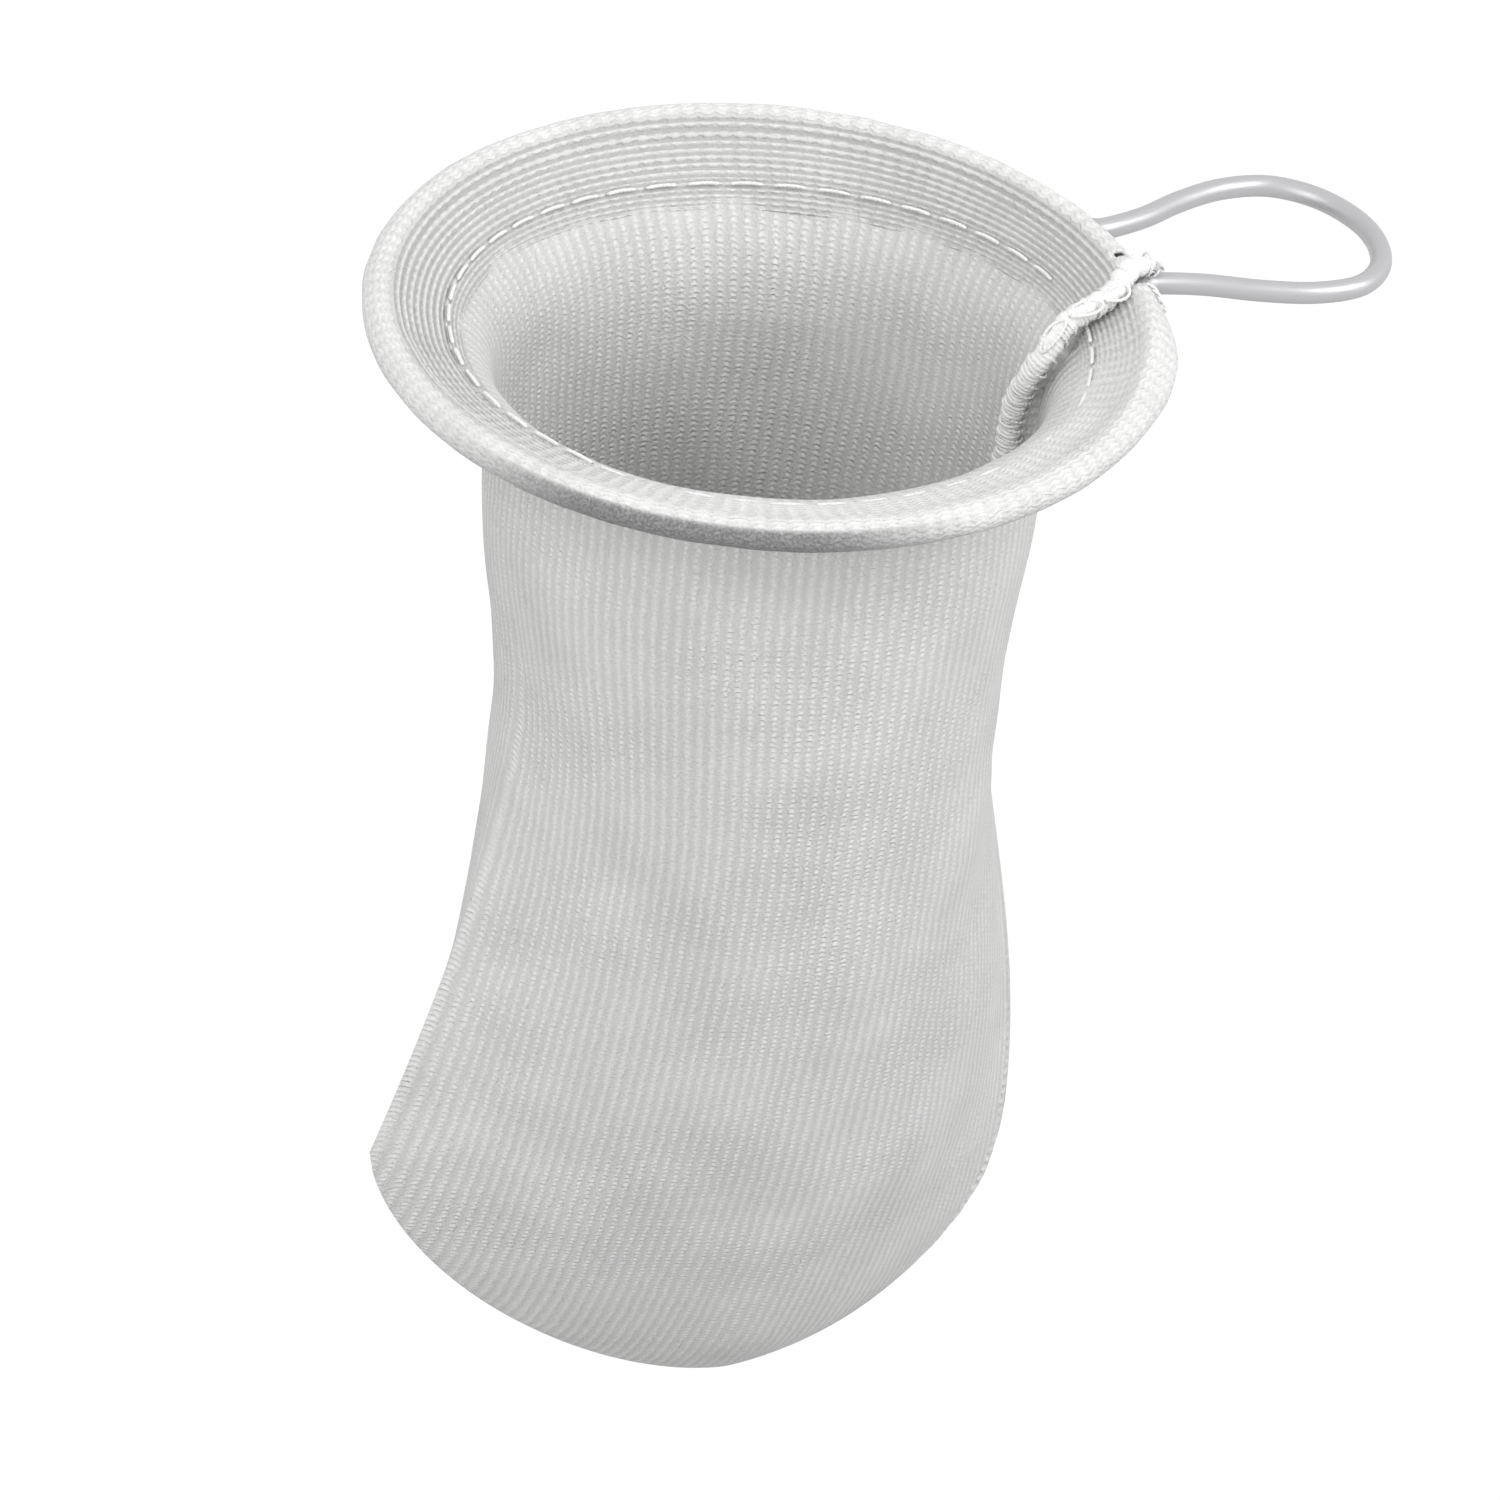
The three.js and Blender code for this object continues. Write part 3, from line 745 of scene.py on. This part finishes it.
# %% Open the casing for the legs, and keep sharp folds sharp
SHARP_FOLD = math.radians(48)
WINDOWS = [  # angles round the ring, then angles round the wire, in degrees
    (5.9, 11.6, -52, 52),
    (-11.6, -5.9, -42, 118),
    (-3.2, -1.7, 60, 108),
]
opened = []
for face in mesh.faces:
    middle = face.calc_center_median()
    angle = math.degrees(math.atan2(middle.y, middle.x))
    across = Vector((math.hypot(middle.x, middle.y) - RING_RADIUS, middle.z))
    around = math.degrees(math.atan2(across.y, across.x))
    if across.length < CASING_RADIUS + 1.2 and any(
            a < angle < b and low < around < high for a, b, low, high in WINDOWS):
        opened.append(face)
bmesh.ops.delete(mesh, geom=opened, context="FACES")
print("opened", len(opened), "faces for the legs")

for edge in mesh.edges:
    below_the_mouth = all(vert.co.z < -MOUTH_DEPTH for vert in edge.verts)
    in_the_middle = all(abs(vert.co.y) < 0.05 for vert in edge.verts)
    if below_the_mouth and in_the_middle and edge.calc_face_angle(0) > SHARP_FOLD:
        edge.smooth = False

# %% Its thickness and its place in the model
bmesh.ops.scale(mesh, vec=(MM, MM, MM), verts=mesh.verts)
data = bpy.data.meshes.new("bag_cloth")
mesh.to_mesh(data)
mesh.free()
data.shade_smooth()
data.materials.append(cotton)
cloth = bpy.data.objects.new("bag_cloth", data)
bpy.context.scene.collection.objects.link(cloth)
cloth.vertex_groups.new(name="thickness")
wall = cloth.modifiers.new("thickness of the knit", "SOLIDIFY")
wall.thickness = KNIT_THICKNESS * MM
wall.offset = -1
wall.vertex_group = "thickness"
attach(cloth, "root")
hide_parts("cotton_bag")
print("bag_cloth", len(data.polygons), "faces before its thickness")

# %% [markdown]
# ## The seam
# Inside the bag the two layers' edges stand up as a narrow fin. At the ring it lies over to one
# side, next to the wire's leg, and further down it stands up. An extruded strip with a bend modifier
# would do for a straight one. This is a grid rolled round a flat section, so it can lean and wave.

# %% Where the seam runs
SEAM_HEIGHT, SEAM_THICKNESS = 5.0, 1.3
LEAN = [  # share of the way, and degrees towards the lower leg
    (0, 70), (0.04, 50), (0.09, 12), (0.16, -8), (0.3, -14), (0.5, -4), (1, 0),
]
LEAN_WAVERS, WAVER_LENGTH = 7, 13
LOWEST_FIN, FULL_HEIGHT_FROM = 0.72, 0.12  # share of its height, and share of the way
SECTION, TOP_ROUNDNESS, FACE_FLATNESS = 14, 0.35, 0.4


def along_table(table, share):
    """Reads a value at a share of the way from pairs of share and value."""
    for (a, low), (b, high) in zip(table, table[1:]):
        if share <= b:
            return lerp(low, high, smoothstep(share, a, b))
    return table[-1][1]


# Places of the foot: x, y and z on the rim, then how far outward in the mouth, or the level below it,
# with y. Along the bottom they are shares of the half-width.
ON_RIM = [(RING_RADIUS + 3.4, -5.0, 1.2), (RING_RADIUS + 1.6, -5.0, 2.0), (RING_RADIUS - 0.4, -5.4, 2.0)]
ON_HEM = [(0.86, -7.2), (0.62, -9.8), (0.4, -12.2)]
IN_THROAT = [(0.2, -13.2), (0.09, -13.0), (0.03, -11.8)]
ON_WALL = [(0, -9.8), (0.1, -6.4), (0.22, -3.0), (0.36, -1.0), (0.52, 0), (0.7, 0), (0.86, 0), (0.96, 0)]
ALONG_BOTTOM = [0.96, 0.86, 0.72, 0.56, 0.4]
HEM_AT, THROAT_AT, WALL_AT = 48, 42, 40  # radii at which those y lie
SEAM_INSET = 0.5


def seam_points():
    """The seam's foot from outside the ring, over the hem, down the wall and along the bottom."""
    points = [Vector(place) for place in ON_RIM]
    for outward, y in ON_HEM:
        points.append(mouth_point(math.atan2(y, HEM_AT), outward, HEM_LIFT))
    for outward, y in IN_THROAT:
        points.append(mouth_point(math.atan2(y, THROAT_AT), outward, SEAM_INSET))
    for level, y in ON_WALL:
        points.append(body_point(math.atan2(y, WALL_AT), level, SEAM_INSET))
    for share in ALONG_BOTTOM:
        x = SEAM_SIDE["corner"] * share
        points.append(Vector((x, 0, bottom_edge(x) + SEAM_INSET)))
    return points


seam_line = smooth_line(seam_points(), 9)
seam_reach = sum((b - a).length for a, b in zip(seam_line, seam_line[1:]))
print("seam", round(seam_reach), "mm long")


# %% Frames along the seam, and the fin
def seam_frames():
    """At each place: the foot, the way up the fin, the way through it, and the share of the way."""
    frames = []
    gone = 0.0
    last = len(seam_line) - 1
    for i, foot in enumerate(seam_line):
        if i:
            gone += (foot - seam_line[i - 1]).length
        tangent = (seam_line[min(i + 1, last)] - seam_line[max(i - 1, 0)]).normalized()
        rise = Vector((0, 1, 0)).cross(tangent).normalized()
        through = tangent.cross(rise).normalized()
        if through.y > 0:
            through = -through
        share = gone / seam_reach
        waver = LEAN_WAVERS * noise.noise(Vector((gone / WAVER_LENGTH, 0, 3)))
        lean = math.radians(along_table(LEAN, share) + waver)
        height = rise * math.cos(lean) + through * math.sin(lean)
        width = through * math.cos(lean) - rise * math.sin(lean)
        frames.append((foot, height, width, share, gone))
    return frames


SEAM = seam_frames()


def seam_height(share):
    return SEAM_HEIGHT * lerp(LOWEST_FIN, 1, smoothstep(share, 0, FULL_HEIGHT_FROM))


mesh = bmesh.new()
uv = mesh.loops.layers.uv.new("knit")
rows = len(SEAM) - 1
grid = bmesh.ops.create_grid(mesh, x_segments=SECTION, y_segments=rows, size=1)["verts"]
for vert in grid:
    column, row = round((vert.co.x + 1) / 2 * SECTION), round((vert.co.y + 1) / 2 * rows)
    foot, height, width, share, gone = SEAM[row]
    around = math.pi * column / SECTION
    closing = min(row, rows - row, 2) / 2
    up_fin = seam_height(share) * math.sin(around) ** TOP_ROUNDNESS
    side = math.copysign(abs(math.cos(around)) ** FACE_FLATNESS, math.cos(around))
    out = SEAM_THICKNESS / 2 * side * closing
    for loop in vert.link_loops:
        loop[uv].uv = (gone / WALE_PITCH, up_fin * math.copysign(1, out))
    vert.co = foot + height * up_fin + width * out
    vert.co += width * 0.3 * noise.noise(vert.co / 4)
seam = add_piece("seam_allowance", mesh, cotton)
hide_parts("cotton_bag")

# %% [markdown]
# ## The overlock thread
# The overlock stitch wraps the fin's edge in thread, so the edge looks like a white bumpy roll.
# The roll is a tube with lumps, and a finer thread winds round it. A few slack loops lie on top.

# %% The roll and its winding
ROLL_RADIUS, ROLL_LUMPS, ROLL_WAVES, LUMP_PITCH = 1.62, 0.36, 0.14, 1.7
ROLL_STEPS, ROLL_SIDES, ROLL_SINKS = 420, 14, -0.75
THREAD_RADIUS, WINDING_SINKS = 0.2, -1.15
WRAP_DEPTH, WRAP_WIDTH, WRAP_PITCH, STEPS_PER_WRAP = 3.6, 3.4, 1.75, 9


def seam_place(gone, up_fin, out):
    """A point beside the seam, by the length along it, the height up the fin and the way through."""
    reach = min(max(gone, 0.8), seam_reach - 0.8)
    index = next(i for i, cell in enumerate(SEAM) if cell[4] >= reach)
    foot_a, height_a, width_a, share, a = SEAM[index - 1]
    foot_b, height_b, width_b, _, b = SEAM[index]
    part = (reach - a) / (b - a)
    height, width = height_a.lerp(height_b, part), width_a.lerp(width_b, part)
    return foot_a.lerp(foot_b, part) + height * (seam_height(share) + up_fin) + width * out


def lumpy(share, turned):
    place = Vector((math.cos(turned), math.sin(turned), share * seam_reach / LUMP_PITCH))
    ends = min(min(share, 1 - share) * 60, 1)
    wraps = ROLL_WAVES * math.cos(FULL_TURN * share * seam_reach / WRAP_PITCH)
    return (ROLL_RADIUS + ROLL_LUMPS * noise.noise(place) + wraps) * math.sqrt(ends)


mesh = bmesh.new()
mesh.loops.layers.uv.new("knit")
ways = [lerp(1, seam_reach - 1, i / ROLL_STEPS) for i in range(ROLL_STEPS + 1)]
add_tube(mesh, [seam_place(gone, ROLL_SINKS, 0) for gone in ways], lumpy, ROLL_SIDES)
turns = int(seam_reach / WRAP_PITCH)
winding = []
for i in range(turns * STEPS_PER_WRAP):
    turned = FULL_TURN * i / STEPS_PER_WRAP
    gone = 1.2 + (seam_reach - 2.4) * i / (turns * STEPS_PER_WRAP)
    wobble = 0.25 * noise.noise(Vector((i / 5, 0, 0)))
    winding.append(seam_place(
        gone + wobble,
        WINDING_SINKS + (WRAP_DEPTH / 2 - 0.1) * math.cos(turned),
        (WRAP_WIDTH / 2 + 0.2 * wobble) * math.sin(turned),
    ))
add_tube(mesh, smooth_line(winding, 2), rounded_ends(THREAD_RADIUS, 0.001), 5)
overlock = add_piece("overlock_edge", mesh, thread)
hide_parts("overlock_thread")

# %% Three slack loops of thread on the roll
mesh = bmesh.new()
mesh.loops.layers.uv.new("knit")
SLACK_LOOPS = ((10.5, 1.9, 1.15), (14.6, 1.7, 1.25), (18.8, 1.8, 1.1))  # place, length, width
SLACK_STEPS, SLACK_RADIUS = 24, 0.24
for gone, long, wide in SLACK_LOOPS:
    ring = []
    for i in range(SLACK_STEPS + 1):
        turned = FULL_TURN * i / SLACK_STEPS
        ring.append(seam_place(gone + long * math.cos(turned), 0.9 + 0.12 * math.sin(3 * turned),
                               0.5 + wide * math.sin(turned)))
    add_tube(mesh, ring, lambda share, _: SLACK_RADIUS, 6)
slack = add_piece("slack_loops", mesh, thread)

# %% [markdown]
# ## Stitches
# The hem is held by one row of long straight stitches. Curves with a bevel would make them too. Here
# each is a short tube with round ends that rises out of the cloth in its middle, and all of them are
# in one mesh. At the near side the thread has sunk into the knit.

# %% The hem's topstitch
STITCHES, STITCH_RADIUS = 46, 0.27
STITCH_OUTWARD, STITCH_SINKS, SUNK_AT = 0.485, 0.7, math.radians(-92)
STITCH_LENGTH = 0.84  # share of the pitch
UNDER_THE_SEAM, SEAM_COVERS = -0.1, 0.1  # the angle where no stitch shows, and how far to each side
ABOVE, BELOW = (HEM_LIFT + 0.3, 0.18), (-0.08, -0.16)  # height on the cloth, and rise in the middle


def nearness(angle):
    """1 where the mouth is nearest to the camera and the thread has sunk into the knit."""
    return smoothstep(math.cos(angle - SUNK_AT), 0.45, 0.7)


def stitch_place(angle, layer):
    sunk = STITCH_SINKS * nearness(angle) if layer > 0 else 0
    return mouth_point(angle, STITCH_OUTWARD, layer - sunk)


def add_stitch(mesh, ends, rise, radius):
    """A stitch through three places or more, lifted in its middle by rise."""
    line = smooth_line(ends, 3)
    last = len(line) - 1
    lifted = [p + rise * math.sin(math.pi * i / last) for i, p in enumerate(line)]
    add_tube(mesh, lifted, rounded_ends(radius, 0.12), 6)


mesh = bmesh.new()
mesh.loops.layers.uv.new("knit")
for i in range(STITCHES):
    start = FULL_TURN * (i + 0.35) / STITCHES
    if turn_apart(start, UNDER_THE_SEAM) < SEAM_COVERS:
        continue
    for layer, rise in (ABOVE, BELOW):
        shift = 0 if rise > 0 else FULL_TURN / STITCHES / 2
        places = [start + shift + FULL_TURN * STITCH_LENGTH / STITCHES * k / 3 for k in range(4)]
        ends = [stitch_place(a, layer) for a in places]
        add_stitch(mesh, ends, Vector((0, 0, rise)), STITCH_RADIUS)
topstitch = add_piece("hem_topstitch", mesh, thread)

# %% Tacks beside the lower leg
mesh = bmesh.new()
mesh.loops.layers.uv.new("knit")
TACKS = [  # degrees round the ring, then from where to where round the wire
    (-13.2, 20, 74),
    (-14.6, 12, 60),
    (-16.2, 4, 48),
]
TACK_RADIUS = 0.24
for degrees, low, high in TACKS:
    angle = math.radians(degrees)
    ends = [casing_point(angle + 0.01 * k, math.radians(lerp(low, high, k / 3)), 0.1) for k in range(4)]
    add_stitch(mesh, ends, polar(angle, 0.2, 0.1), TACK_RADIUS)
tacks = add_piece("casing_tacks", mesh, thread)

# %% [markdown]

# %% [markdown]
# ## Floor and light
# The floor is pale and lies below the bag, which hangs. It shows white to the camera and to
# reflections, and keeps the shadow. Two soft boxes stand a little above the ring, so the walls
# are bright and the underside of the ring gets little light. The dark band under its near side is
# painted shade in the cloth's colour.


# %% White world and pale floor
def white_behind(tree, output, lit, kind, strength):
    """Mixes a lit shader with plain white for what the camera and reflections see."""
    path = tree.nodes.new("ShaderNodeLightPath")
    seen = math_node(tree, "MAXIMUM", path.outputs["Is Camera Ray"], path.outputs["Is Glossy Ray"])
    seen = math_node(tree, "MAXIMUM", seen, path.outputs["Is Transmission Ray"])
    white = tree.nodes.new(kind)
    white.inputs["Strength"].default_value = strength
    white.inputs["Color"].default_value = (1, 1, 1, 1)
    mix = tree.nodes.new("ShaderNodeMixShader")
    tree.links.new(lit, mix.inputs[1])
    tree.links.new(white.outputs[0], mix.inputs[2])
    tree.links.new(mix.outputs[0], output)
    return seen, mix


WORLD_LIGHT = 1.04
world = bpy.data.worlds.new("studio")
bpy.context.scene.world = world
world.use_nodes = True
tree = world.node_tree
soft = tree.nodes["Background"]
soft.inputs["Color"].default_value = (1, 1, 1, 1)
soft.inputs["Strength"].default_value = WORLD_LIGHT
seen, mix = white_behind(tree, tree.nodes["World Output"].inputs["Surface"], soft.outputs[0],
                         "ShaderNodeBackground", 1.0)
tree.links.new(seen, mix.inputs[0])

FLOOR_HEIGHT, FLOOR_SIZE, FLOOR_WHITENESS = -0.42, 3.0, 0.93
FLOOR_COLOUR, FLOOR_GLOW = (0.42, 0.42, 0.42), 1.06
mesh = bmesh.new()
bmesh.ops.create_grid(mesh, x_segments=1, y_segments=1, size=FLOOR_SIZE)
bmesh.ops.translate(mesh, vec=(0, 0, FLOOR_HEIGHT), verts=mesh.verts)
data = bpy.data.meshes.new("floor")
mesh.to_mesh(data)
mesh.free()
floor = bpy.data.objects.new("floor", data)
bpy.context.scene.collection.objects.link(floor)
floor_paint, tree, shader = new_material("pale floor", FLOOR_COLOUR, 0.9)
seen, mix = white_behind(tree, tree.nodes["Material Output"].inputs["Surface"], shader.outputs[0],
                         "ShaderNodeEmission", FLOOR_GLOW)
tree.links.new(math_node(tree, "MULTIPLY", seen, FLOOR_WHITENESS), mix.inputs[0])
floor.data.materials.append(floor_paint)
floor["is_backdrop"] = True


# %% Lamps
def add_lamp(name, place, size, power):
    """A square soft box that points at the bag's middle."""
    light = bpy.data.lights.new(name, "AREA")
    light.size = size
    light.energy = power
    lamp = bpy.data.objects.new(name, light)
    bpy.context.scene.collection.objects.link(lamp)
    lamp.location = place
    lamp.rotation_euler = (BAG_MIDDLE - Vector(place)).to_track_quat("-Z", "Y").to_euler()
    return lamp


add_lamp("key_from_the_right", (1.1, -0.8, 0.9), 0.7, 12)
add_lamp("fill_from_the_left", (-1.1, -0.8, 0.85), 0.9, 10)

# %% [markdown]
# ## Last settings
# Standard view transform shows the colours as they are written. The bounds of the dressed model are
# measured.

bpy.context.scene.view_settings.view_transform = "Standard"
low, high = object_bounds()
